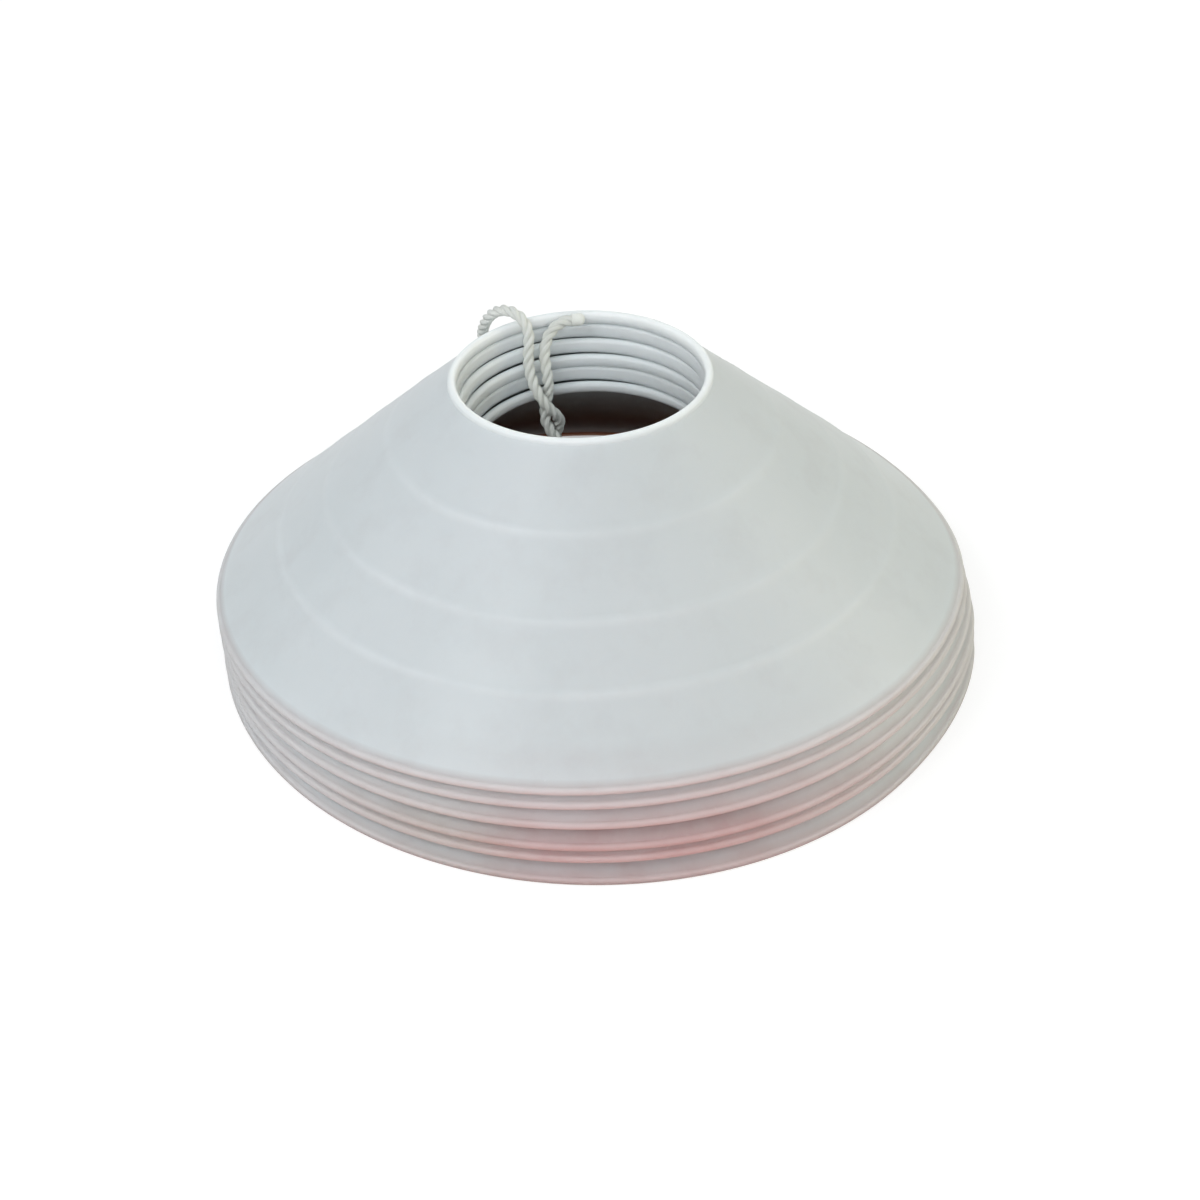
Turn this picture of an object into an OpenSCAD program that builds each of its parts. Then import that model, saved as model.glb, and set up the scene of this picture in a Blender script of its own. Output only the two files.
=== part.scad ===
// A nest of six thin marker cones with a carry cord tied through their holes.
// The lowest cone stands on the floor at z = 0 with its axis on the z axis. Each other cone sits on the
// one below it, a little tipped, as a loose stack lies. The nest is seen from the -y side.

/* [Cone] */
// Outer diameter of a cone at its rim
rim_d = 190; // [150:1:240]
// Height of one cone from the floor to the top of its collar
cone_h = 58.5; // [45:0.5:75]
// Diameter of the hole at the top
hole_d = 61.5; // [45:0.5:80]
// Thickness of the wall
wall_t = 1.2; // [1:0.1:2]

/* [Collar round the hole] */
// Thickness of the collar
collar_t = 2; // [1.4:0.1:2.6]
// How far the collar stands above the wall outside it
collar_stand = 1.5; // [1.3:0.05:3]
// Depth of the collar's bore
collar_deep = 2.5; // [2:0.05:3]

/* [Rim bead] */
// Thickness of the bead along the rim
bead_t = 2.2; // [2:0.1:3]
// How far the bead stands out of the wall's outer face
bead_proud = 0.2; // [0.1:0.05:0.3]
// Width of the flat under the bead that the cone stands on
bead_flat = 1.4; // [1:0.1:1.8]

/* [Moulded rings] */
// Width of each shallow ring round the wall
ring_w = 4; // [1.6:0.1:6]
// Height of each ring above the wall
ring_h = 0.12; // [0.1:0.01:0.5]

/* [Stack] */
// Gap left where one cone seats on the next
seat_gap = 0.3; // [0.2:0.05:0.6]
// Degrees that the second cone leans on the first
lean_2 = 1.3; // [0:0.1:1.5]
// Degrees that the third cone leans on the second
lean_3 = 0.2; // [0:0.1:1.5]
// Degrees that the fourth cone leans on the third
lean_4 = 1.2; // [0:0.1:1.5]
// Degrees that the fifth cone leans on the fourth
lean_5 = 1; // [0:0.1:1.5]
// Degrees that the sixth cone leans on the fifth
lean_6 = 0.4; // [0:0.1:1.5]
// Direction of the raised side, in degrees round the z axis
raised_side = -60; // [-180:5:180]

/* [Cord] */
// Diameter of the cord
cord_d = 3; // [2:0.1:4]
// Diameter of the knot
knot_d = 9; // [7:0.5:11]

/* [Hidden] */
cone_color = [0.86, 0.89, 0.9];
cord_color = [0.9, 0.9, 0.84];

rim_r = rim_d / 2;
hole_r = hole_d / 2;
collar_r = hole_r + collar_t;
collar_round = collar_t / 2;
bead_r = bead_t / 2;
// Centre of the bead, as radius and height
bead_x = rim_r - bead_r;
bead_z = sqrt(bead_r * bead_r - bead_flat * bead_flat / 4);

// The wall's outer face is a straight line in section. It starts at the foot of the collar and
// passes over the bead's centre at face_off, so that the bead stands proud of it.
foot_z = cone_h - collar_stand;
face_off = bead_r - bead_proud;
fall_x = bead_x - collar_r;
fall_z = foot_z - bead_z;
fall_len = sqrt(fall_x * fall_x + fall_z * fall_z);
slope = atan2(fall_z, fall_x) - asin(face_off / fall_len);
face_len = fall_len * cos(asin(face_off / fall_len));
inner_off = face_off - wall_t;
// The collar's flat underside, and where it meets the wall's inner face
under_z = cone_h - collar_deep;
under_x = bead_x - ((under_z - bead_z) * cos(slope) - inner_off) / sin(slope);

// Where along the wall's outer face the rings lie, from the collar's foot to the bead
ring_place_shares = [0.26, 0.52, 0.73];
// Section of a ring: place across its width and height
ring_shape_shares = [[-0.5, 0], [-0.28, 0.75], [-0.08, 1], [0.08, 1], [0.28, 0.75], [0.5, 0]];
arc_step = 15;

// A cone comes down on the one below until its wall meets that collar, its bead meets the wall or its
// collar's underside meets that collar's top
collar_reach = sin(slope) * (hole_r + collar_round - collar_r)
    + cos(slope) * (collar_stand - collar_round) + collar_round;
seat_on_collar = (wall_t + collar_reach) / cos(slope) + seat_gap;
seat_on_wall = (face_off + bead_r) / cos(slope) + seat_gap;
seat_on_top = collar_deep + seat_gap;
seat_pitch = max(seat_on_collar, seat_on_wall, seat_on_top);
leans = [0, lean_2, lean_3, lean_4, lean_5, lean_6];
// Share of the room that a lean opens which the cone uses up by sliding down its low side
slide_share = 0.9;

// Route of the cord's centre: from its tip along the back of the top collar, down through the holes, round
// a bight and up again, its two runs twisted once round each other, then over the collar in an arch and
// down the back of the top wall to the knot
cord_route = [
    [-2.8, 34.6, 75.4], [-5.8, 34.4, 75.4], [-9.2, 33.7, 75.1], [-12.1, 31.6, 72.6], [-13.2, 29.1, 68.6],
    [-12.1, 26.2, 62.9], [-12.2, 25.9, 57.4], [-13.2, 24.4, 51.9], [-9.5, 21.4, 46.9],
    [-5.7, 22.8, 41.4], [-2.4, 22.9, 33.3], [0.7, 21.2, 25.6], [2.9, 19.6, 17.8], [3, 18.5, 10.9],
    [1.5, 18, 6.3], [-2, 18, 3.8], [-6, 18, 3.8], [-9.5, 18, 6.3], [-11, 18.5, 10.9],
    [-11.1, 19.6, 17.7], [-10.8, 20.7, 25.5], [-10.4, 21.9, 33.3], [-10.8, 23.9, 40.9],
    [-10.2, 26, 46.4], [-8.9, 24.1, 52], [-12.6, 21.7, 57.4], [-16.2, 25.2, 62.8], [-17.2, 27.6, 68.1],
    [-16.8, 29.4, 73.1], [-17.2, 30.9, 75.7], [-20, 33.1, 78], [-23.9, 35.7, 77.5], [-27.2, 38.5, 73.8],
    [-28.9, 41.3, 68.6], [-29.3, 45.7, 63], [-28, 51.3, 57.4], [-25.6, 57.5, 52.9], [-22.3, 63, 48.6],
    [-19.8, 68.7, 44], [-18.9, 73, 40.2]];
cord_sides = 8;
knot_at = [-19, 75.5, 41.6];

// Points of an arc in section, as radius and height
function arc(x, z, r, from, to) =
    let (steps = max(1, round(abs(to - from) / arc_step)))
    [for (i = [0 : steps]) let (a = from + (to - from) * i / steps) [x + r * cos(a), z + r * sin(a)]];

// Point on the wall's outer face at a distance from the collar's foot, raised off the face
function on_face(along, raised) =
    [collar_r + along * cos(slope) + raised * sin(slope), foot_z - along * sin(slope) + raised * cos(slope)];

bead_top = 90 - slope + acos(face_off / bead_r);
bead_in = 90 - slope + acos(inner_off / bead_r) - 360;
flat_end = -asin(bead_z / bead_r);

// Section of a cone, from the collar's inner edge over its top, down the wall and back inside
cone_section = concat(
    [[under_x, under_z], [hole_r, under_z]],
    arc(hole_r + collar_round, cone_h - collar_round, collar_round, 180, 0),
    [[collar_r, foot_z]],
    [for (place = ring_place_shares) for (p = ring_shape_shares)
        on_face(place * face_len + p[0] * ring_w, p[1] * ring_h)],
    arc(bead_x, bead_z, bead_r, bead_top, arc_step),
    arc(bead_x, bead_z, bead_r, 0, flat_end),
    arc(bead_x, bead_z, bead_r, -180 - flat_end, bead_in));

module cone_shell() {
    color(cone_color)
        rotate_extrude($fn = 180)
            polygon(cone_section);
}

// How far a leaning cone slides along the wall below it, towards its low side
function slide_of(lean) =
    slide_share * lean * PI / 180 * ((rim_r + collar_r) * cos(slope) - cone_h * sin(slope)) / sin(2 * slope);

// One step up the stack: the seat's pitch, then the lean about the rim's low side, then the slide
module seat_step(lean) {
    translate([0, 0, seat_pitch])
        rotate([0, 0, raised_side])
            translate([-slide_of(lean) * cos(slope) - rim_r, 0, -slide_of(lean) * sin(slope)])
                rotate([0, -lean, 0])
                    translate([rim_r, 0, 0])
                        rotate([0, 0, -raised_side])
                            children();
}

module seated(place) {
    if (place == 0)
        children();
    else
        seated(place - 1)
            seat_step(leans[place])
                children();
}

module cone_1() {
    seated(0) cone_shell();
}

module cone_2() {
    seated(1) cone_shell();
}

module cone_3() {
    seated(2) cone_shell();
}

module cone_4() {
    seated(3) cone_shell();
}

module cone_5() {
    seated(4) cone_shell();
}

module cone_6() {
    seated(5) cone_shell();
}

function unit(v) = v / norm(v);

// Direction of the route at each of its points
function heading(path, i) = unit(path[min(i + 1, len(path) - 1)] - path[max(i - 1, 0)]);

// A sideways direction carried along the route, so that the tube doesn't twist
function side_along(path, i) =
    i == 0
        ? unit(cross(heading(path, 0), [0, 0, 1]))
        : let (last = side_along(path, i - 1), ahead = heading(path, i))
            unit(last - ahead * (last * ahead));

// Tube of straight facets swept along a route
module swept_tube(path, d, sides) {
    rings = [for (i = [0 : len(path) - 1])
        let (ahead = heading(path, i), side = side_along(path, i), other = cross(ahead, side))
        [for (j = [0 : sides - 1])
            path[i] + d / 2 * (cos(360 * j / sides) * side + sin(360 * j / sides) * other)]];
    last = len(path) - 1;
    points = [for (r = rings) for (p = r) p];
    walls = [for (i = [0 : last - 1]) for (j = [0 : sides - 1])
        let (a = i * sides + j, b = i * sides + (j + 1) % sides)
        each [[a, a + sides, b + sides], [a, b + sides, b]]];
    near_end = [for (j = [1 : sides - 2]) [0, j, j + 1]];
    far_end = [for (j = [1 : sides - 2]) [last * sides, last * sides + j + 1, last * sides + j]];
    polyhedron(points, concat(walls, near_end, far_end));
}

module cord() {
    color(cord_color)
        swept_tube(cord_route, cord_d, cord_sides);
}

module cord_knot() {
    color(cord_color)
        translate(knot_at)
            sphere(d = knot_d, $fn = 32);
}

cone_1();
cone_2();
cone_3();
cone_4();
cone_5();
cone_6();
cord();
cord_knot();
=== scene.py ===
import math

import bpy
import numpy as np
from mathutils import Matrix, Vector


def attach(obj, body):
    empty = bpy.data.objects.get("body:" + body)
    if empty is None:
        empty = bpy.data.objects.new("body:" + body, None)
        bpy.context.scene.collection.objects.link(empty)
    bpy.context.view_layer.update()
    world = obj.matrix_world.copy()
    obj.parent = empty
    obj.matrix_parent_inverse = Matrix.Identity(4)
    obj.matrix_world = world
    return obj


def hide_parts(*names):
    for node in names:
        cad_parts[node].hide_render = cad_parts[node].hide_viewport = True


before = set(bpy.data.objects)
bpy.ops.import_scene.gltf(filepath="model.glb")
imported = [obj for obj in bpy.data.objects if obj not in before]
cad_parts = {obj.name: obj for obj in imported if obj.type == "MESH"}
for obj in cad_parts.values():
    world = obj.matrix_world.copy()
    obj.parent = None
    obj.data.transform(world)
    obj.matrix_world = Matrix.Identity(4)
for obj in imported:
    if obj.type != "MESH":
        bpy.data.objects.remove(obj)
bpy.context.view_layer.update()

# A loose nest of six thin white marker cones, with a knotted carry cord that hangs through their holes.
# Shapes are worked out in millimetres and put into the meshes in metres.

MM = 0.001
TAU = 2 * math.pi
# Slack for rounding where two radii or heights are told apart
ROUNDING = 1e-6


# ---------------------------------------------------------------- camera

# The view was fitted to the rim and hole ellipses of the lowest and the top cone in the photograph.
VIEW_DISTANCE = 800.0
VIEW_ELEVATION = math.radians(37.2)
VIEW_ROLL = math.radians(-0.28)
VIEW_SHIFT_X = 1.405
VIEW_SHIFT_Y = 9.786
VIEW_NEAR = 0.01
VIEW_FAR = 20
FRAME_PIXELS = 1200
PIXELS_PER_MM = 3.856
SENSOR_MM = 36.0


def set_camera():
    """Camera at the photograph's place: the line of sight comes down at the view's elevation along +Y,
    the frame's right and up axes are turned by the roll, and the focal length is distance times
    pixels per millimetre."""
    ahead = Vector((0, math.cos(VIEW_ELEVATION), -math.sin(VIEW_ELEVATION)))
    level = Vector((1, 0, 0))
    rise = Vector((0, math.sin(VIEW_ELEVATION), math.cos(VIEW_ELEVATION)))
    right = math.cos(VIEW_ROLL) * level - math.sin(VIEW_ROLL) * rise
    up = math.sin(VIEW_ROLL) * level + math.cos(VIEW_ROLL) * rise
    place = VIEW_SHIFT_X * right + VIEW_SHIFT_Y * up - VIEW_DISTANCE * ahead
    turn = Matrix((right, up, -ahead)).transposed().to_4x4()
    data = bpy.data.cameras.new("photo_view")
    data.sensor_width = SENSOR_MM
    data.lens = PIXELS_PER_MM * VIEW_DISTANCE / FRAME_PIXELS * SENSOR_MM
    data.clip_start = VIEW_NEAR
    data.clip_end = VIEW_FAR
    camera = bpy.data.objects.new("photo_view", data)
    camera.matrix_world = Matrix.Translation(place * MM) @ turn
    bpy.context.scene.collection.objects.link(camera)
    bpy.context.scene.camera = camera


# ---------------------------------------------------------------- meshes


def make_piece(name, points_mm, quads, smooth=True):
    """Mesh object of points in millimetres and faces of four corners, at the origin."""
    mesh = bpy.data.meshes.new(name)
    mesh.from_pydata((np.asarray(points_mm) * MM).tolist(), [], quads)
    mesh.polygons.foreach_set("use_smooth", np.full(len(mesh.polygons), smooth))
    mesh.update()
    piece = bpy.data.objects.new(name, mesh)
    bpy.context.scene.collection.objects.link(piece)
    return piece


def add_values(piece, name, values):
    """Stores one number a point on the mesh, for its material to read."""
    layer = piece.data.attributes.new(name=name, type="FLOAT", domain="POINT")
    layer.data.foreach_set("value", np.asarray(values, np.float32))


def add_uv(piece, uv_points):
    """UV map from one pair of numbers a point."""
    layer = piece.data.uv_layers.new(name="UVMap")
    corners = np.empty(len(piece.data.loops), np.int64)
    piece.data.loops.foreach_get("vertex_index", corners)
    layer.data.foreach_set("uv", uv_points[corners].astype(np.float32).ravel())


def ring_quads(rows, columns, closed_rows):
    """Faces of a grid whose columns wrap round. Its rows wrap too where closed_rows says so."""
    last = rows if closed_rows else rows - 1
    i, j = np.meshgrid(np.arange(last), np.arange(columns), indexing="ij")
    up = (i + 1) % rows
    side = (j + 1) % columns
    corners = [i * columns + j, i * columns + side, up * columns + side, up * columns + j]
    return np.stack(corners, -1).reshape(-1, 4)


# ---------------------------------------------------------------- cord

CORD_D = 3.0
STRANDS = 3
STRAND_R = 0.8
STRAND_OFFSET = CORD_D / 2 - STRAND_R
STRAND_SIDES = 12
TWIST_PITCH = 8.5
CORD_STEP = 0.6
CORD_SMOOTH = 2.2
# Places worked out on each arc of a route, and how many spreads the bell curve reaches
ARC_PLACES = 16
BELL_REACH = 3
# A sideways direction to start from, which none of the paths begins along
FIRST_SIDE = (0.3, 0.9, 0.1)
# Length over which the strands thin out at an end, and the least share of their size that is left
THIN_CORD_END = CORD_D / 4
THIN_TAIL_END = CORD_D / 6
LEAST_SIZE = 0.02

# The cord's centre, as in the part's source: from its tip along the back of the top collar, down through
# the holes, round a bight and up again, its two runs twisted once round each other, then over the collar
# in an arch and down the back of the top wall.
CORD_ROUTE = [
    (-2.8, 34.6, 75.4), (-5.8, 34.4, 75.4), (-9.2, 33.7, 75.1), (-12.1, 31.6, 72.6),
    (-13.2, 29.1, 68.6), (-12.1, 26.2, 62.9), (-12.2, 25.9, 57.4), (-13.2, 24.4, 51.9),
    (-9.5, 21.4, 46.9), (-5.7, 22.8, 41.4), (-2.4, 22.9, 33.3), (0.7, 21.2, 25.6), (2.9, 19.6, 17.8),
    (3, 18.5, 10.9), (1.5, 18, 6.3), (-2, 18, 3.8), (-6, 18, 3.8), (-9.5, 18, 6.3), (-11, 18.5, 10.9),
    (-11.1, 19.6, 17.7), (-10.8, 20.7, 25.5), (-10.4, 21.9, 33.3), (-10.8, 23.9, 40.9),
    (-10.2, 26, 46.4), (-8.9, 24.1, 52), (-12.6, 21.7, 57.4), (-16.2, 25.2, 62.8), (-17.2, 27.6, 68.1),
    (-16.8, 29.4, 73.1), (-17.2, 30.9, 75.7), (-20, 33.1, 78), (-23.9, 35.7, 77.5),
    (-27.2, 38.5, 73.8), (-28.9, 41.3, 68.6), (-29.3, 45.7, 63), (-28, 51.3, 57.4),
    (-25.6, 57.5, 52.9), (-22.3, 63, 48.6), (-19.8, 68.7, 44), (-18.9, 73, 40.2)]

# The sealed tip: its rounded stretch, how far it stands proud of the cord, where its rings lie along it,
# and what the last two of them lose of the cord's radius
TIP_LENGTH = 3.5
TIP_ROUND = 1.2
TIP_PROUD = 0.04
TIP_RINGS = (0, 0.08, 0.3, 0.7, TIP_ROUND, TIP_LENGTH - 0.5, TIP_LENGTH - 0.2, TIP_LENGTH)
TIP_TAPER = (0.1, 0.5)
TIP_SIDES = 24

# The knot lies on the back of the top wall: its axes run along the wall, up the slope and off the wall.
KNOT_AT = np.array([-19.0, 75.5, 41.6])
KNOT_AXES = np.array([(-0.974, -0.226, -0.021), (0.143, -0.682, 0.717), (-0.176, 0.696, 0.696)])
KNOT_SINK = 1.7
KNOT_LOOP = 1.15
KNOT_RISE = 1.5
KNOT_TURNS = 3
KNOT_STEPS = 150
KNOT_TAIL = ((1.5, -1.5, -0.9), (2.6, -4, -1.5), (2.4, -7, -1.6), (1.2, -10, -1.6), (0.8, -12.5, -1.6))


def unit(v):
    return v / np.linalg.norm(v, axis=-1, keepdims=True)


def run_along(path):
    """Distance along the path from its start to each of its points."""
    return np.r_[0, np.cumsum(np.linalg.norm(np.diff(path, axis=0), axis=1))]


def points_at(path, places):
    """Points of the path at these distances from its start."""
    run = run_along(path)
    return np.stack([np.interp(places, run, path[:, k]) for k in range(3)], -1)


def even_steps(path, step):
    """The same path at equal distances along it."""
    length = run_along(path)[-1]
    return points_at(path, np.linspace(0, length, int(round(length / step)) + 1))


def smooth_route(points, step, spread):
    """A smooth line along the route's points: cubic arcs whose direction at a point is that of its two
    neighbours, then each place averaged with what lies within the spread, by a bell curve."""
    p = np.asarray(points, float)
    m = np.empty_like(p)
    m[1:-1] = (p[2:] - p[:-2]) / 2
    m[0] = p[1] - p[0]
    m[-1] = p[-1] - p[-2]
    t = np.linspace(0, 1, ARC_PLACES, endpoint=False)[:, None, None]
    a, b = p[:-1], p[1:]
    arcs = ((2 * t**3 - 3 * t**2 + 1) * a + (t**3 - 2 * t**2 + t) * m[:-1]
            + (3 * t**2 - 2 * t**3) * b + (t**3 - t**2) * m[1:])
    line = even_steps(np.vstack([arcs.transpose(1, 0, 2).reshape(-1, 3), p[-1:]]), step)
    reach = int(BELL_REACH * spread / step)
    bell = np.exp(-0.5 * (np.arange(-reach, reach + 1) * step / spread) ** 2)
    bell /= bell.sum()
    start = line[0] + (line[0] - line[1]) * np.arange(reach, 0, -1)[:, None]
    end = line[-1] + (line[-1] - line[-2]) * np.arange(1, reach + 1)[:, None]
    padded = np.vstack([start, line, end])
    return np.stack([np.convolve(padded[:, k], bell, "valid") for k in range(3)], -1)


def carried_sides(path, closed):
    """Direction of the path and a sideways direction carried along it. On a closed path the
    sideways direction is turned back evenly, so that its end meets its start."""
    if closed:
        ahead = unit(np.roll(path, -1, 0) - np.roll(path, 1, 0))
    else:
        ahead = unit(np.gradient(path, axis=0))
    side = np.empty_like(path)
    side[0] = unit(np.cross(ahead[0], FIRST_SIDE))
    for k in range(1, len(path)):
        side[k] = unit(side[k - 1] - ahead[k] * (side[k - 1] @ ahead[k]))
    if closed:
        back = unit(side[-1] - ahead[0] * (side[-1] @ ahead[0]))
        gap = math.atan2(np.cross(side[0], back) @ ahead[0], side[0] @ back)
        turn = -gap * np.arange(len(path)) / len(path)
        other = np.cross(ahead, side)
        side = np.cos(turn)[:, None] * side + np.sin(turn)[:, None] * other
    return ahead, side


def circles_along(centre, radius, angle, side, other):
    """Circles across a line: each centre, plus its radius times the cosine of the angle sideways and
    the sine of the angle in the other direction across the line."""
    return centre[:, None] + radius[:, None, None] * (
        np.cos(angle)[..., None] * side[:, None] + np.sin(angle)[..., None] * other[:, None])


def tube_uv(run, around):
    """UV pairs of a tube's points: turns of the lay along it, and the share of a turn round it."""
    pairs = np.meshgrid(run / TWIST_PITCH, around / TAU, indexing="ij")
    return np.stack(pairs, -1).reshape(-1, 2)


def laid_strands(path, closed, turns, thin_ends=0.0):
    """Three strands laid round each other along a path. Strand k's centre turns about the path at
    STRAND_OFFSET, and its own section is a circle of STRAND_R in the plane across the path. Where
    the ends are thinned, both radii grow from almost nothing over that length."""
    ahead, side = carried_sides(path, closed)
    other = np.cross(ahead, side)
    rows = len(path)
    run = run_along(path)
    size = np.ones(rows)
    if thin_ends:
        size = np.sqrt(np.clip(np.minimum(run, run[-1] - run) / thin_ends, LEAST_SIZE**2, 1))
    share = np.arange(rows) / rows if closed else run / run[-1]
    around = np.linspace(0, TAU, STRAND_SIDES, endpoint=False)
    points, quads = [], []
    for k in range(STRANDS):
        lay = TAU * (turns * share + k / STRANDS)
        centre = path + STRAND_OFFSET * size[:, None] * (
            np.cos(lay)[:, None] * side + np.sin(lay)[:, None] * other)
        tube = circles_along(centre, STRAND_R * size, lay[:, None] + around, side, other)
        points.append(tube.reshape(-1, 3))
        quads.append(ring_quads(rows, STRAND_SIDES, closed) + k * rows * STRAND_SIDES)
    return np.vstack(points), np.vstack([tube_uv(run, around)] * STRANDS), np.vstack(quads)


def sealed_tip(path):
    """The melted end of a cord: a round bar a little thicker than the cord over the path's first
    stretch, rounded off by a quarter circle at its end and drawn in where it meets the strands."""
    places = np.array(TIP_RINGS)
    centre = points_at(path, places)
    radius = CORD_D / 2 * np.sqrt(1 - np.clip(1 - places / TIP_ROUND, 0, 1) ** 2) + TIP_PROUD
    radius[-2:] = CORD_D / 2 - np.array(TIP_TAPER)
    ahead, side = carried_sides(centre, False)
    around = np.linspace(0, TAU, TIP_SIDES, endpoint=False)
    tube = circles_along(centre, radius, around, side, np.cross(ahead, side))
    return tube.reshape(-1, 3), tube_uv(places, around), ring_quads(len(places), TIP_SIDES, False)


def joined_piece(name, parts):
    """One piece from several sets of points, UV pairs and faces."""
    starts = np.cumsum([0] + [len(p[0]) for p in parts])
    piece = make_piece(name, np.vstack([p[0] for p in parts]),
                       np.vstack([p[2] + s for p, s in zip(parts, starts)]).tolist())
    add_uv(piece, np.vstack([p[1] for p in parts]))
    return piece


def make_cord():
    """The cord, as laid strands along the smoothed route, with a sealed tip."""
    path = smooth_route(CORD_ROUTE, CORD_STEP, CORD_SMOOTH)
    turns = run_along(path)[-1] / TWIST_PITCH
    strands = laid_strands(path, False, turns, THIN_CORD_END)
    return joined_piece("carry_cord", [strands, sealed_tip(path)]), path


def make_knot():
    """The knot: a three-lobed closed path, one turn round a small circle added to two turns the other
    way round a circle twice as wide, with a rise of the sine of three times the angle. A short tail
    leaves it down the slope and ends in a sealed tip."""
    a = np.linspace(0, TAU, KNOT_STEPS, endpoint=False)
    loop = np.stack([KNOT_LOOP * (np.sin(a) + 2 * np.sin(2 * a)),
                     KNOT_LOOP * (np.cos(a) - 2 * np.cos(2 * a)),
                     -KNOT_RISE * np.sin(3 * a)], -1)
    middle = KNOT_AT - KNOT_SINK * KNOT_AXES[2]
    tail = smooth_route(np.array(KNOT_TAIL) @ KNOT_AXES + middle, CORD_STEP, CORD_STEP)
    tail_turns = run_along(tail)[-1] / TWIST_PITCH
    return joined_piece("cord_knot_tied", [
        laid_strands(loop @ KNOT_AXES + middle, True, KNOT_TURNS),
        laid_strands(tail, False, tail_turns, THIN_TAIL_END), sealed_tip(tail[::-1])])


set_camera()
carry_cord, cord_path = make_cord()
cord_knot_tied = make_knot()
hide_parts("cord")
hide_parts("cord_knot")
for piece in (carry_cord, cord_knot_tied):
    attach(piece, "cone_6")


# ---------------------------------------------------------------- cones

# Sizes of a cone and of the nest, as in the part's source
RIM_R = 95.0
CONE_H = 58.5
HOLE_R = 30.75
WALL_T = 1.2
COLLAR_T = 2.0
COLLAR_STAND = 1.5
COLLAR_DEEP = 2.5
BEAD_R = 1.1
BEAD_PROUD = 0.2
BEAD_FLAT = 1.4
RING_W = 4.0
RING_H = 0.12
RING_PLACES = (0.26, 0.52, 0.73)
SEAT_GAP = 0.3
SLIDE_SHARE = 0.9
LEANS = (0, 1.3, 0.2, 1.2, 1.0, 0.4)
RAISED_SIDE = -60.0

COLLAR_R = HOLE_R + COLLAR_T
COLLAR_ROUND = COLLAR_T / 2
BEAD_X = RIM_R - BEAD_R
BEAD_Z = math.sqrt(BEAD_R**2 - BEAD_FLAT**2 / 4)
FOOT_Z = CONE_H - COLLAR_STAND
FACE_OFF = BEAD_R - BEAD_PROUD
FALL = math.hypot(BEAD_X - COLLAR_R, FOOT_Z - BEAD_Z)
SLOPE = math.atan2(FOOT_Z - BEAD_Z, BEAD_X - COLLAR_R) - math.asin(FACE_OFF / FALL)
FACE_LEN = FALL * math.cos(math.asin(FACE_OFF / FALL))
INNER_OFF = FACE_OFF - WALL_T
# The collar's flat underside, and where it meets the wall's inner face
UNDER_Z = CONE_H - COLLAR_DEEP
UNDER_X = BEAD_X - ((UNDER_Z - BEAD_Z) * math.cos(SLOPE) - INNER_OFF) / math.sin(SLOPE)
DOWN_SLOPE = np.array([math.cos(SLOPE), -math.sin(SLOPE)])
OFF_FACE = np.array([math.sin(SLOPE), math.cos(SLOPE)])

# How finely a cone is made: steps round the axis, along a straight run, beside a corner and round an arc in
# degrees, and points across a ring
CONE_TURNS = 288
WALL_STEP = 2.5
CORNER_STEP = 0.12
ARC_STEP = 9
RING_POINTS = 13
# The wall's slow waves: how far it goes off its true face, waves round the axis, the least height of one
# before it is divided, how far they swirl down the wall, and what their sum is divided by
WAVE = 0.22
WAVE_COUNTS = (2, 3, 4, 5)
WAVE_LEAST = 0.3
WAVE_SWIRL = 1.5
WAVE_SUM = 1.3
SHAPE_SEED = 40
# What is left between a collar and the one below, now that the soft nest has settled
SETTLED_GAP = 0.12
# How the soft nest has gone out of round, as middle and half width in degrees, distance outwards, and the
# heights between which it fades: drawn in at the back right, and spread at the lower right
OUT_OF_ROUND = ((26, 32, -3.0, 10, 40), (11, 49, 3.9, 7, 32))


def arc(centre, radius, start, end):
    """Points of an arc in section, from one angle to another in degrees."""
    count = max(2, int(round(abs(end - start) / ARC_STEP)) + 1)
    a = np.radians(np.linspace(start, end, count))
    return np.stack([centre[0] + radius * np.cos(a), centre[1] + radius * np.sin(a)], -1)


def straight(start, end):
    """Points of a straight run in section, without its ends, close together near both corners."""
    length = math.dist(start, end)
    inner = np.linspace(0, length, max(2, int(round(length / WALL_STEP)) + 1))[1:-1]
    places = np.r_[CORNER_STEP, inner, length - CORNER_STEP] / length
    return np.asarray(start) + places[:, None] * (np.asarray(end) - np.asarray(start))


def outer_face(foot, end):
    """Points of the wall's outer face, from the collar's foot to where the bead begins. Each ring lifts
    them by RING_H times the square of the cosine across its width."""
    along = (straight(foot, end) - foot) @ DOWN_SLOPE
    across = np.linspace(-0.5, 0.5, RING_POINTS)
    for place in RING_PLACES:
        along = along[np.abs(along - place * FACE_LEN) > RING_W / 2 + CORNER_STEP]
        along = np.sort(np.r_[along, place * FACE_LEN + across * RING_W])
    rise = np.zeros(len(along))
    for place in RING_PLACES:
        off_crest = np.clip((along - place * FACE_LEN) / RING_W, -0.5, 0.5)
        rise += RING_H * np.cos(off_crest * math.pi) ** 2
    return np.asarray(foot) + along[:, None] * DOWN_SLOPE + rise[:, None] * OFF_FACE


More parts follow.
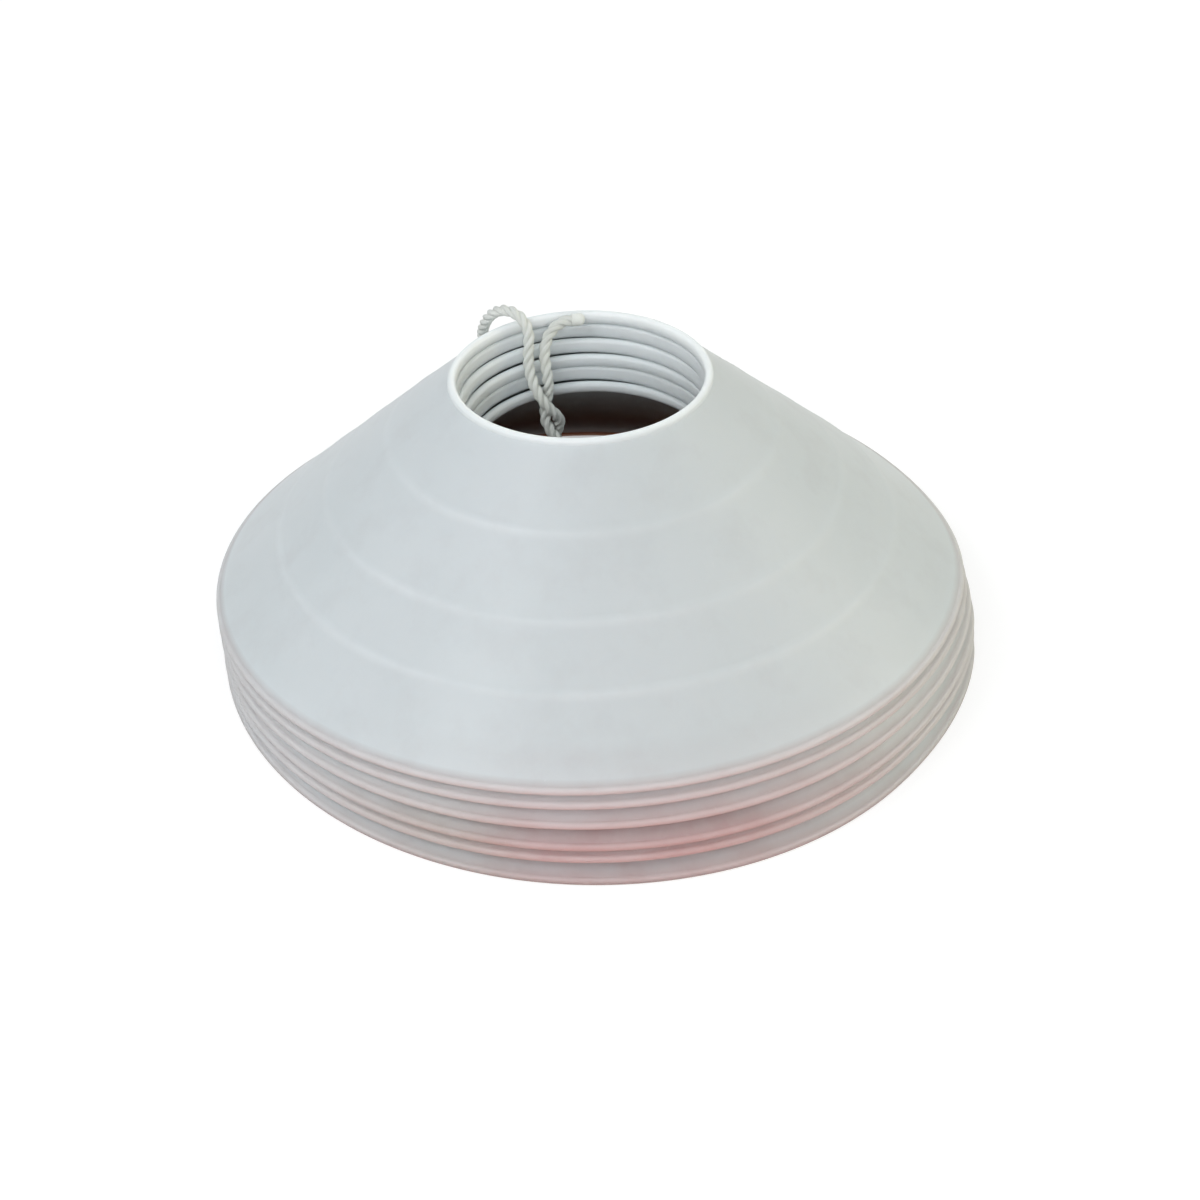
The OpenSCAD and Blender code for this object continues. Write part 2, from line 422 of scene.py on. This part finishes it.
def cone_section():
    """Closed section of a cone, as radius and height: along the collar's flat underside to its bore, up
    the bore, over the collar's round top, down to its foot, along the outer face with its three raised
    rings, round the bead with its flat and back inside."""
    under = (UNDER_X, UNDER_Z)
    bore_end = (HOLE_R, UNDER_Z)
    collar_top = arc((HOLE_R + COLLAR_ROUND, CONE_H - COLLAR_ROUND), COLLAR_ROUND, 180, 0)
    foot = (COLLAR_R, FOOT_Z)
    slope = math.degrees(SLOPE)
    bead_top = 90 - slope + math.degrees(math.acos(FACE_OFF / BEAD_R))
    bead_in = 90 - slope + math.degrees(math.acos(INNER_OFF / BEAD_R)) - 360
    flat_end = -math.degrees(math.asin(BEAD_Z / BEAD_R))
    bead = (BEAD_X, BEAD_Z)
    outside = arc(bead, BEAD_R, bead_top, flat_end)
    inside = arc(bead, BEAD_R, -180 - flat_end, bead_in)
    return np.vstack([
        [under], straight(under, bore_end), [bore_end], straight(bore_end, collar_top[0]), collar_top,
        straight(collar_top[-1], foot), [foot], outer_face(foot, outside[0]), outside,
        straight(outside[-1], inside[0]), inside, straight(inside[-1], under)])


def seat_frames():
    """Placing matrix of each cone: the pitch of the seat, then a lean about the rim's low side, then a
    slide down the wall below that uses most of the room which the lean opens."""
    reach = (math.sin(SLOPE) * (HOLE_R + COLLAR_ROUND - COLLAR_R)
             + math.cos(SLOPE) * (COLLAR_STAND - COLLAR_ROUND) + COLLAR_ROUND)
    on_collar = (WALL_T + reach) / math.cos(SLOPE)
    on_wall = (FACE_OFF + BEAD_R) / math.cos(SLOPE)
    pitch = max(on_collar, on_wall, COLLAR_DEEP) + SEAT_GAP
    room = ((RIM_R + COLLAR_R) * math.cos(SLOPE) - CONE_H * math.sin(SLOPE)) / math.sin(2 * SLOPE)
    side = Matrix.Rotation(math.radians(RAISED_SIDE), 4, "Z")
    frames = [Matrix.Identity(4)]
    for lean in LEANS[1:]:
        tip = math.radians(lean)
        slide = SLIDE_SHARE * tip * room
        step = (Matrix.Translation((0, 0, pitch)) @ side
                @ Matrix.Translation((-slide * math.cos(SLOPE) - RIM_R, 0, -slide * math.sin(SLOPE)))
                @ Matrix.Rotation(-tip, 4, "Y") @ Matrix.Translation((RIM_R, 0, 0)) @ side.inverted())
        frames.append(frames[-1] @ step)
    return frames


def out_of_round(points):
    """The same points moved towards the z axis or away from it. Each place in OUT_OF_ROUND moves them by a
    raised cosine of the angle round the axis, faded out with height by a smooth step. All cones share
    it, so they stay nested."""
    around = np.arctan2(points[:, 1], points[:, 0])
    radius = np.hypot(points[:, 0], points[:, 1])
    moved = np.zeros(len(points))
    for middle, half_width, distance, full, gone in OUT_OF_ROUND:
        off_middle = (around - math.radians(middle) + math.pi) % TAU - math.pi
        bell = 0.5 + 0.5 * np.cos(np.clip(off_middle / math.radians(half_width), -1, 1) * math.pi)
        share = np.clip((points[:, 2] - full) / (gone - full), 0, 1)
        moved += distance * bell * (1 - share**2 * (3 - 2 * share))
    scale = (radius + moved) / radius
    return points * np.stack([scale, scale, np.ones_like(scale)], -1)


def underside(turn, placing, below):
    """Height of the collar's underside at each turn round the axis. It follows the ring along the top of
    the collar below, SETTLED_GAP above it, and is nowhere above the underside of a cone by itself."""
    if below is None:
        return np.full(len(turn), UNDER_Z)
    top = (HOLE_R + COLLAR_ROUND) * np.stack([np.cos(turn), np.sin(turn)], -1)
    seen_from = np.array(placing.inverted() @ below)
    ring = np.column_stack([top, np.full(len(turn), CONE_H)]) @ seen_from[:3, :3].T + seen_from[:3, 3]
    around = np.arctan2(ring[:, 1], ring[:, 0])
    height = np.interp(turn, around, ring[:, 2] + SETTLED_GAP, period=TAU)
    return np.minimum(height, UNDER_Z)


def wall_waver(number, turn, down):
    """How far one cone's wall goes off its true face: a sum of slow waves round the axis, each with a
    random height divided by its count and a random start, that fade at collar and rim by a half wave
    down the wall."""
    draw = np.random.default_rng(SHAPE_SEED + number)
    waves = sum(draw.uniform(WAVE_LEAST, 1) / k
                * np.cos(k * turn[:, None] + draw.uniform(0, TAU) + WAVE_SWIRL * k * down)
                for k in WAVE_COUNTS)
    return WAVE * waves * np.sin(math.pi * down) / WAVE_SUM


def make_cone(number, placing, below):
    """One cone: its section carried round the axis, with the wall's waver, as a thin soft moulding has.
    The bore's height is stretched down to the underside, whose outer edge keeps to the wall's inner
    face. The mesh keeps how far down the wall each point lies, which points are inside, and how near
    the bore they are."""
    section = cone_section()
    turn = np.linspace(0, TAU, CONE_TURNS, endpoint=False)
    down = np.clip((section - (COLLAR_R, FOOT_Z)) @ DOWN_SLOPE / FACE_LEN, 0, 1)
    waver = wall_waver(number, turn, down)
    drop = UNDER_Z - underside(turn, placing, below)[:, None]
    bore_top = CONE_H - COLLAR_ROUND
    in_bore = (section[:, 0] < HOLE_R + ROUNDING) & (section[:, 1] <= bore_top)
    in_flat = (np.abs(section[:, 1] - UNDER_Z) < ROUNDING) & (section[:, 0] <= UNDER_X + ROUNDING)
    stretch = np.where(in_bore, (bore_top - section[:, 1]) / (bore_top - UNDER_Z), in_flat.astype(float))
    widening = np.where(in_flat, (section[:, 0] - HOLE_R) / (UNDER_X - HOLE_R), 0)
    r = section[:, 0] + waver * OFF_FACE[0] + drop / math.tan(SLOPE) * widening
    z = section[:, 1] + waver * OFF_FACE[1] - drop * stretch
    points = np.stack([r * np.cos(turn)[:, None], r * np.sin(turn)[:, None], z], -1).reshape(-1, 3)
    matrix = np.array(placing)
    placed = out_of_round(points @ matrix[:3, :3].T + matrix[:3, 3])
    piece = make_piece(f"marker_cone_{number}", placed,
                       ring_quads(CONE_TURNS, len(section), True).tolist())
    inside = (section - (COLLAR_R, FOOT_Z)) @ OFF_FACE < -WALL_T / 2
    in_collar = section[:, 1] > UNDER_Z - ROUNDING
    near_bore = np.where(in_collar, np.clip((COLLAR_R - section[:, 0]) / COLLAR_T, 0, 1), 0)
    for name, values in (("down_wall", down), ("inner_face", inside.astype(float)), ("bore_edge", near_bore)):
        add_values(piece, name, np.tile(values, CONE_TURNS))
    return piece


placings = seat_frames()
cones = [make_cone(k + 1, placing, placings[k - 1] if k else None) for k, placing in enumerate(placings)]
for number, cone in enumerate(cones, 1):
    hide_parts(f"cone_{number}")
    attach(cone, f"cone_{number}")


# ---------------------------------------------------------------- finishes

WHITE = (1, 1, 1, 1)


class Nodes:
    """Short hand for laying out shader nodes in one tree."""

    def __init__(self, tree):
        self.tree = tree

    def add(self, kind, values=(), **settings):
        """A node with these settings. Each socket named in values is linked to another node's socket, or
        set to a plain value."""
        node = self.tree.nodes.new(kind)
        for key, value in settings.items():
            setattr(node, key, value)
        for socket, value in dict(values).items():
            if isinstance(value, bpy.types.NodeSocket):
                self.tree.links.new(value, node.inputs[socket])
            else:
                node.inputs[socket].default_value = value
        return node

    def math(self, operation, a, b=0.5, clamp=False):
        return self.add("ShaderNodeMath", {0: a, 1: b}, operation=operation, use_clamp=clamp).outputs[0]

    def times(self, a, b, clamp=False):
        return self.math("MULTIPLY", a, b, clamp)

    def distance(self, a, b):
        return self.add("ShaderNodeVectorMath", {0: a, 1: b}, operation="DISTANCE").outputs["Value"]

    def remap(self, value, low, high, to_low=0.0, to_high=1.0):
        return self.add("ShaderNodeMapRange", {"Value": value, "From Min": low, "From Max": high,
                                               "To Min": to_low, "To Max": to_high}).outputs[0]

    def noise(self, vector, scale, detail=3.0, roughness=0.55, distortion=0.0):
        return self.add("ShaderNodeTexNoise", {"Vector": vector, "Scale": scale, "Detail": detail,
                                               "Roughness": roughness, "Distortion": distortion}).outputs[0]

    def mix(self, factor, a, b, blend="MIX"):
        return self.add("ShaderNodeMix", {0: factor, 6: a, 7: b},
                        data_type="RGBA", blend_type=blend).outputs[2]


def new_group(name, inputs, outputs):
    """A node group with named inputs and outputs, each given as name, kind and value."""
    tree = bpy.data.node_groups.new(name, "ShaderNodeTree")
    for label, kind, value in inputs:
        tree.interface.new_socket(label, in_out="INPUT", socket_type=kind).default_value = value
    for label, kind in outputs:
        tree.interface.new_socket(label, in_out="OUTPUT", socket_type=kind)
    nodes = Nodes(tree)
    return tree, nodes, nodes.add("NodeGroupInput").outputs, nodes.add("NodeGroupOutput")


def new_material(name):
    material = bpy.data.materials.new(name)
    material.use_nodes = True
    material.node_tree.nodes.clear()
    return material, Nodes(material.node_tree)


# A spread gives the part of a noise that is taken, from low to high, and what it becomes where that isn't
# 0 to 1.

# The plastic: its tone and how far a cone's own may differ, cloudy patches, roughness and fine grain
PLASTIC_TONE = (0.66, 0.71, 0.725)
TONE_DRIFT = 0.012
TONE_SEED = 70
PATTERN_SHIFT = (0.31, 0.17, 0)
CLOUD_TONE = (0.955, 0.96, 0.955, 1)
CLOUD_SPREAD = (0.35, 0.65)
ROUGHNESS_SPREAD = (0.3, 0.7, 0.36, 0.44)
GRAIN_HEIGHT = 0.4
# Scale, detail, roughness and distortion of each noise in it
CLOUDS = (22, 3, 0.5)
BLOTCHES = (75, 4, 0.6)
GRAIN = (2600, 2, 0.6)
STREAKS = (260, 5, 0.75, 1.5)
SCUFF_PATCHES = (30, 2)
# Scuffs are streaks in a few patches. Thin dusty blotches lie about, and painted shade in the same
# colour darkens the corner over the rim and its bead.
STREAK_STRETCH = (1, 1, 0.25)
STREAK_SPREAD = (0.62, 0.74)
PATCH_SPREAD = (0.5, 0.66)
SCUFFS = 0.5
SCUFF_COLOUR = (0.86, 0.87, 0.86, 1)
SCUFF_TONE = 0.35
SCUFF_ROUGHNESS = 0.3
SCUFF_HEIGHT = -0.5
BEAD_SHADE_DOWN = (0.97, 0.99)
BEAD_SHADE = 0.8
DUST_SPREAD = (0.5, 0.8, 0, 0.2)
DUST_AND_SHADE_COLOUR = (0.43, 0.38, 0.375, 1)
DUST_AND_SHADE = 0.7
DUST_AND_SHADE_ROUGHNESS = 0.2
# Painted light on the rims in front: a painted reflection of the warm floor with painted shade, pink in the
# middle and brown to the left, each cone's by its own amount from the lowest up. Painted brown shade lies on
# the inside of the lowest cone towards its rim, and painted shade darkens the foot where the nest stands.
BOUNCE_AND_SHADE_PLACE = (0.008, -0.095, 0.008)
BOUNCE_AND_SHADE_REACH = (0.025, 0.085)
BOUNCE_AND_SHADE_DOWN = (0.86, 0.91)
BOUNCE_AND_SHADE_SPREAD = (0.35, 0.65, 0.75, 1.0)
BOUNCE_AND_SHADE_PINK = (0.44, 0.29, 0.285, 1)
BOUNCE_AND_SHADE_BROWN = (0.37, 0.31, 0.27, 1)
BROWN_SIDE = (-0.012, -0.035)
BOUNCE_AND_SHADE_AMOUNTS = (0.55, 0.85, 0.85, 0.5, 0.25, 0.1)
INNER_SHADE_DOWN = (0.3, 0.65)
INNER_SHADE_COLOUR = (0.30, 0.13, 0.07, 1)
INNER_SHADE_AMOUNTS = (0.95, 0.1, 0.1, 0.1, 0.1, 0.1)
FOOT_SHADE_HEIGHTS = (0.0004, 0.0016)
FOOT_SHADE_COLOUR = (0.24, 0.21, 0.20, 1)
FOOT_SHADE = 0.75
# Painted light makes the edge of the bore lighter, and painted highlights make the moulded rings a little
# lighter, most of all at the left in front.
BORE_LIGHT_COLOUR = (0.90, 0.97, 0.97, 1)
BORE_LIGHT = 0.95
RING_HIGHLIGHT_COLOUR = (0.84, 0.89, 0.91, 1)
RING_HIGHLIGHT = 0.32
RING_HIGHLIGHT_ELSEWHERE = 0.06
RING_HIGHLIGHT_WIDTH = 0.022
RING_HIGHLIGHT_PLACE = (-0.026, -0.06, 0.05)
RING_HIGHLIGHT_REACH = (0.026, 0.05)
RING_HIGHLIGHT_SPREAD = (0.35, 0.6)
# Gloss of each cone, from the lowest up, and the light that spreads inside the plastic
SHEENS = (0.1, 0.35, 0.35, 0.35, 0.35, 0.35)
PLASTIC_IOR = 1.5
INNER_LIGHT_TINT = (1.0, 0.95, 0.92)
INNER_LIGHT_REACH = 0.006
GRAIN_STRENGTH = 0.25
GRAIN_DEPTH = 0.0001


def paint_ring_highlights(n, given, clouds, tone):
    """Paints a highlight on the crest of each moulded ring, lightest round the place at the left in front."""
    ring_highlight_share = n.remap(n.distance(given["Place"], RING_HIGHLIGHT_PLACE), *RING_HIGHLIGHT_REACH, RING_HIGHLIGHT, RING_HIGHLIGHT_ELSEWHERE)
    patchy = n.remap(clouds, *RING_HIGHLIGHT_SPREAD)
    for ring in RING_PLACES:
        off_crest = n.math("ABSOLUTE", n.math("SUBTRACT", given["Down Wall"], ring))
        crest = n.times(n.remap(off_crest, 0, RING_HIGHLIGHT_WIDTH, 1, 0), patchy)
        tone = n.mix(n.times(crest, ring_highlight_share), tone, RING_HIGHLIGHT_COLOUR)
    return tone


def painted_bounce_and_shade(n, given, blotches, tone):
    """Mixes in the painted reflection of the warm floor and painted shade on the rims in front, then painted
    shade at the foot by height, then painted brown shade on the inner face towards the rim."""
    # Painted reflection of the warm floor and painted shade on the rims in front
    near_bounce_and_shade = n.remap(n.distance(given["Place"], BOUNCE_AND_SHADE_PLACE), *BOUNCE_AND_SHADE_REACH, 1, 0)
    uneven = n.remap(blotches, *BOUNCE_AND_SHADE_SPREAD)
    bounce_and_shade = n.times(n.times(near_bounce_and_shade, uneven), n.remap(given["Down Wall"], *BOUNCE_AND_SHADE_DOWN))
    sides = n.add("ShaderNodeSeparateXYZ", {0: given["Place"]}).outputs
    bounce_and_shade_tone = n.mix(n.remap(sides["X"], *BROWN_SIDE), given["Bounce And Shade"], BOUNCE_AND_SHADE_BROWN)
    tone = n.mix(n.times(bounce_and_shade, given["Bounce And Shade Amount"], clamp=True), tone, bounce_and_shade_tone)
    # Painted shade at the foot, where the nest stands
    tone = n.mix(n.remap(sides["Z"], *FOOT_SHADE_HEIGHTS, FOOT_SHADE, 0), tone, FOOT_SHADE_COLOUR)
    # Painted brown shade on the inner face towards the rim
    soil_and_shade = n.times(given["Inner Face"], n.remap(given["Down Wall"], *INNER_SHADE_DOWN))
    return n.mix(n.times(soil_and_shade, given["Inner Shade Amount"], clamp=True), tone, INNER_SHADE_COLOUR)


def soft_plastic_group():
    """Soft moulded plastic: cloudy tone, fine grain, painted light on the bore edge and highlights on the
    rings, dusty blotches, painted shade over the rim, at the foot and inside, the painted reflection of the
    warm floor, and a few worn scuffs. Puts out a colour, a roughness and a height."""
    tree, n, given, out = new_group(
        "soft_plastic",
        [("Vector", "NodeSocketVector", (0, 0, 0)), ("Place", "NodeSocketVector", (0, 0, 0)),
         ("Down Wall", "NodeSocketFloat", 0.5), ("Inner Face", "NodeSocketFloat", 0.0),
         ("Bore Edge", "NodeSocketFloat", 0.0), ("Tone", "NodeSocketColor", PLASTIC_TONE + (1,)),
         ("Dust And Shade", "NodeSocketColor", DUST_AND_SHADE_COLOUR), ("Dust And Shade Amount", "NodeSocketFloat", DUST_AND_SHADE),
         ("Scuffs", "NodeSocketFloat", SCUFFS), ("Bounce And Shade", "NodeSocketColor", BOUNCE_AND_SHADE_PINK),
         ("Bounce And Shade Amount", "NodeSocketFloat", 0.3), ("Inner Shade Amount", "NodeSocketFloat", 0.1)],
        [("Color", "NodeSocketColor"), ("Roughness", "NodeSocketFloat"), ("Height", "NodeSocketFloat")])
    clouds = n.noise(given["Vector"], *CLOUDS)
    blotches = n.noise(given["Vector"], *BLOTCHES)
    grain = n.noise(given["Vector"], *GRAIN)
    stretched = n.add("ShaderNodeMapping", {"Vector": given["Vector"], "Scale": STREAK_STRETCH}).outputs[0]
    streaks = n.remap(n.noise(stretched, *STREAKS), *STREAK_SPREAD)
    patches = n.remap(n.noise(given["Vector"], *SCUFF_PATCHES), *PATCH_SPREAD)
    scuffs = n.times(n.times(streaks, patches), given["Scuffs"])
    # Painted shade over the rim and its bead, added to the thin dusty blotches
    bead_shade = n.times(n.remap(given["Down Wall"], *BEAD_SHADE_DOWN), BEAD_SHADE)
    dust_and_bead_shade = n.math("ADD", bead_shade, n.remap(blotches, *DUST_SPREAD))
    dust_and_shade = n.times(dust_and_bead_shade, given["Dust And Shade Amount"], clamp=True)
    cloudy = n.mix(n.remap(clouds, *CLOUD_SPREAD), CLOUD_TONE, WHITE)
    tone = n.mix(1.0, given["Tone"], cloudy, "MULTIPLY")
    # Painted light on the edge of the bore
    tone = n.mix(n.times(given["Bore Edge"], BORE_LIGHT), tone, BORE_LIGHT_COLOUR)
    # Painted highlights on the moulded rings
    tone = paint_ring_highlights(n, given, clouds, tone)
    tone = n.mix(dust_and_shade, tone, given["Dust And Shade"])
    tone = painted_bounce_and_shade(n, given, blotches, tone)
    tone = n.mix(n.times(scuffs, SCUFF_TONE), tone, SCUFF_COLOUR)
    rough = n.math("ADD", n.remap(clouds, *ROUGHNESS_SPREAD), n.times(scuffs, SCUFF_ROUGHNESS))
    rough = n.math("ADD", rough, n.times(dust_and_shade, DUST_AND_SHADE_ROUGHNESS), clamp=True)
    height = n.math("ADD", n.times(grain, GRAIN_HEIGHT), n.times(scuffs, SCUFF_HEIGHT))
    for label, value in (("Color", tone), ("Roughness", rough), ("Height", height)):
        tree.links.new(value, out.inputs[label])
    return tree


def cone_plastic(number, group):
    """White soft plastic of one cone, each a little off the others in tone."""
    material, n = new_material(f"white_soft_plastic_{number}")
    lift = np.random.default_rng(TONE_SEED + number).uniform(-TONE_DRIFT, TONE_DRIFT)
    place = n.add("ShaderNodeTexCoord").outputs["Object"]
    shift = tuple(s * number for s in PATTERN_SHIFT)
    moved = n.add("ShaderNodeMapping", {"Vector": place, "Location": shift}).outputs[0]
    stored = {name: n.add("ShaderNodeAttribute", attribute_name=name).outputs["Fac"]
              for name in ("down_wall", "inner_face", "bore_edge")}
    # Each cone's share of painted floor reflection and painted shade is handed to the group here
    finish = n.add("ShaderNodeGroup", {
        "Vector": moved, "Place": place, "Down Wall": stored["down_wall"],
        "Inner Face": stored["inner_face"], "Bore Edge": stored["bore_edge"],
        "Tone": tuple(t + lift for t in PLASTIC_TONE) + (1,), "Dust And Shade": DUST_AND_SHADE_COLOUR, "Dust And Shade Amount": DUST_AND_SHADE,
        "Scuffs": SCUFFS, "Bounce And Shade": BOUNCE_AND_SHADE_PINK, "Bounce And Shade Amount": BOUNCE_AND_SHADE_AMOUNTS[number - 1],
        "Inner Shade Amount": INNER_SHADE_AMOUNTS[number - 1]}, node_tree=group).outputs
    bump = n.add("ShaderNodeBump", {"Height": finish["Height"], "Strength": GRAIN_STRENGTH,
                                    "Distance": GRAIN_DEPTH})
    shader = n.add("ShaderNodeBsdfPrincipled", {
        "Base Color": finish["Color"], "Roughness": finish["Roughness"], "Normal": bump.outputs[0],
        "IOR": PLASTIC_IOR, "Specular IOR Level": SHEENS[number - 1], "Subsurface Weight": 1.0,
        "Subsurface Radius": INNER_LIGHT_TINT, "Subsurface Scale": INNER_LIGHT_REACH})
    n.add("ShaderNodeOutputMaterial", {"Surface": shader.outputs[0]})
    return material


# The cord: painted shade in its grooves, tone on its fibres, how soiled it is and how fibres run in UV turns
CORD_GROOVE_SHADE = (0.84, 0.86, 0.80, 1)
CORD_FIBRE_TONE = (0.95, 0.96, 0.92, 1)
CORD_SOIL_COLOUR = (0.72, 0.71, 0.60, 1)
CORD_SOIL_NOISE = (90, 3, 0.6)
CORD_SOIL_SPREAD = (0.45, 0.75, 0, 0.4)
FUZZ_NOISE = (1800, 3, 0.7)
FIBRE_SLANT = (0, 0, 0.45)
FIBRE_COUNTS = (6, 14, 1)
FIBRE_SPREAD = (0.2, 0.8)
FIBRE_WAVE = {"Scale": 1.2, "Distortion": 2.5, "Detail": 3.0, "Detail Scale": 2.0}
FIBRE_HEIGHT = 0.6
FUZZ_HEIGHT = 0.4
FIBRE_STRENGTH = 0.6
FIBRE_DEPTH = 0.0003
CORD_ROUGHNESS_SPREAD = (0.3, 0.7, 0.7, 0.9)
CORD_SHEEN = 0.25
CORD_SHEEN_ROUGHNESS = 0.5


def cord_fibre():
    """White twisted cord: fine fibres that run on a slant along each strand, with painted shade, a little
    grey, in the grooves."""
    material, n = new_material("white_twisted_cord")
    uv = n.add("ShaderNodeUVMap", uv_map="UVMap").outputs[0]
    place = n.add("ShaderNodeTexCoord").outputs["Object"]
    slant = n.add("ShaderNodeMapping", {"Vector": uv, "Rotation": FIBRE_SLANT, "Scale": FIBRE_COUNTS})
    fibres = n.add("ShaderNodeTexWave", {"Vector": slant.outputs[0], **FIBRE_WAVE},
                   bands_direction="Y").outputs[1]
    fuzz = n.noise(place, *FUZZ_NOISE)
    soil_and_shade = n.noise(place, *CORD_SOIL_NOISE)
    # Painted shade: the grooves between the fibres are darker
    tone = n.mix(n.remap(fibres, *FIBRE_SPREAD), CORD_GROOVE_SHADE, CORD_FIBRE_TONE)
    aged = n.mix(n.remap(soil_and_shade, *CORD_SOIL_SPREAD), tone, CORD_SOIL_COLOUR)
    height = n.math("ADD", n.times(fibres, FIBRE_HEIGHT), n.times(fuzz, FUZZ_HEIGHT))
    bump = n.add("ShaderNodeBump", {"Height": height, "Strength": FIBRE_STRENGTH, "Distance": FIBRE_DEPTH})
    shader = n.add("ShaderNodeBsdfPrincipled", {
        "Base Color": aged, "Roughness": n.remap(fuzz, *CORD_ROUGHNESS_SPREAD),
        "Normal": bump.outputs[0], "Sheen Weight": CORD_SHEEN, "Sheen Roughness": CORD_SHEEN_ROUGHNESS})
    n.add("ShaderNodeOutputMaterial", {"Surface": shader.outputs[0]})
    return material


plastic_group = soft_plastic_group()
for number, cone in enumerate(cones, 1):
    cone.data.materials.append(cone_plastic(number, plastic_group))
cord_material = cord_fibre()
for piece in (carry_cord, cord_knot_tied):
    piece.data.materials.append(cord_material)


# ---------------------------------------------------------------- floor, light and background

FLOOR_REACH = 3000.0
# Seen directly the floor is this grey under the lamps plus this much white glow.
FLOOR_LIT = (0.35, 0.35, 0.35, 1)
FLOOR_GLOW = 0.72
# What the floor gives back to the nest, also just in front of it, and what shows of it under the nest
FLOOR_GIVES_BACK = (0.42, 0.38, 0.36, 1)
FLOOR_IN_FRONT = (0.80, 0.33, 0.28, 1)
FRONT_PLACE = (0.03, -0.17, 0)
FRONT_REACH = (0.05, 0.17)
UNDER_COLOUR = (0.25, 0.11, 0.06, 1)
UNDER_NEST = (0.091, 0.094)
SOFT_LIGHT = (0.92, 0.97, 1.0, 1)
SOFT_LIGHT_STRENGTH = 0.50
LAMPS_FACE = Vector((0, 0, 0.04))
# Name, place, side, power and colour of each lamp
LAMPS = (
    ("key_front", (-0.04, -1.08, 0.64), 0.6, 5.2, (0.96, 0.98, 1.0)),
    ("window_left", (-0.6, -0.45, 1.0), 0.5, 4.4, (0.95, 0.98, 1.0)),
    ("fill_left", (-1.1, 0.1, 0.5), 0.7, 1.5, (0.97, 0.99, 1.0)),
    ("fill_back", (0.2, 1.1, 0.7), 0.7, 2.2, (0.97, 0.99, 1.0)),
    ("glow_low", (0.15, -1.1, 0.1), 0.4, 1.4, (1.0, 0.80, 0.76)),
    ("fill_right", (1.12, 0.08, 0.42), 0.6, 3.9, (1.0, 0.93, 0.61)))


def seen_directly(n):
    """1 for rays of the camera, of mirrors and of glass, and 0 for the light that reaches the object."""
    path = n.add("ShaderNodeLightPath")
    first = n.math("MAXIMUM", path.outputs["Is Camera Ray"], path.outputs["Is Glossy Ray"])
    return n.math("MAXIMUM", first, path.outputs["Is Transmission Ray"])


def make_floor():
    """Pale floor. Seen directly it is white and keeps the nest's shadow. The light that it gives back
    to the nest, and what shows of it under the nest, is a warm brown."""
    corners = [(x * FLOOR_REACH, y * FLOOR_REACH, 0) for x, y in ((-1, -1), (1, -1), (1, 1), (-1, 1))]
    floor = make_piece("floor", corners, [(0, 1, 2, 3)], smooth=False)
    material, n = new_material("pale_floor")
    place = n.add("ShaderNodeTexCoord").outputs["Object"]
    from_middle = n.add("ShaderNodeVectorMath", {0: place}, operation="LENGTH").outputs["Value"]
    outside = n.remap(from_middle, *UNDER_NEST)
    off_front = n.remap(n.distance(place, FRONT_PLACE), *FRONT_REACH)
    given_back = n.mix(outside, UNDER_COLOUR, n.mix(off_front, FLOOR_IN_FRONT, FLOOR_GIVES_BACK))
    warm = n.add("ShaderNodeBsdfDiffuse", {"Color": given_back}).outputs[0]
    lit = n.add("ShaderNodeBsdfDiffuse", {"Color": FLOOR_LIT}).outputs[0]
    glow = n.add("ShaderNodeEmission", {"Color": WHITE, "Strength": FLOOR_GLOW}).outputs[0]
    pale = n.add("ShaderNodeAddShader", {0: lit, 1: glow}).outputs[0]
    both = n.add("ShaderNodeMixShader", {0: n.times(seen_directly(n), outside), 1: warm, 2: pale})
    n.add("ShaderNodeOutputMaterial", {"Surface": both.outputs[0]})
    floor.data.materials.append(material)


def make_world():
    """White where it is seen directly, and a soft even light for the rest."""
    world = bpy.data.worlds.new("studio")
    world.use_nodes = True
    world.node_tree.nodes.clear()
    n = Nodes(world.node_tree)
    soft = n.add("ShaderNodeBackground", {"Color": SOFT_LIGHT, "Strength": SOFT_LIGHT_STRENGTH}).outputs[0]
    white = n.add("ShaderNodeBackground", {"Color": WHITE, "Strength": 1.0}).outputs[0]
    both = n.add("ShaderNodeMixShader", {0: seen_directly(n), 1: soft, 2: white})
    n.add("ShaderNodeOutputWorld", {"Surface": both.outputs[0]})
    bpy.context.scene.world = world


def add_lamp(name, place, size, power, colour):
    """Square soft lamp that faces the middle of the nest."""
    data = bpy.data.lights.new(name, "AREA")
    data.shape = "SQUARE"
    data.size = size
    data.energy = power
    data.color = colour
    lamp = bpy.data.objects.new(name, data)
    lamp.location = place
    lamp.rotation_euler = (LAMPS_FACE - lamp.location).to_track_quat("-Z", "Y").to_euler()
    bpy.context.scene.collection.objects.link(lamp)


make_floor()
make_world()
for lamp in LAMPS:
    add_lamp(*lamp)

bpy.context.scene.view_settings.view_transform = "Standard"
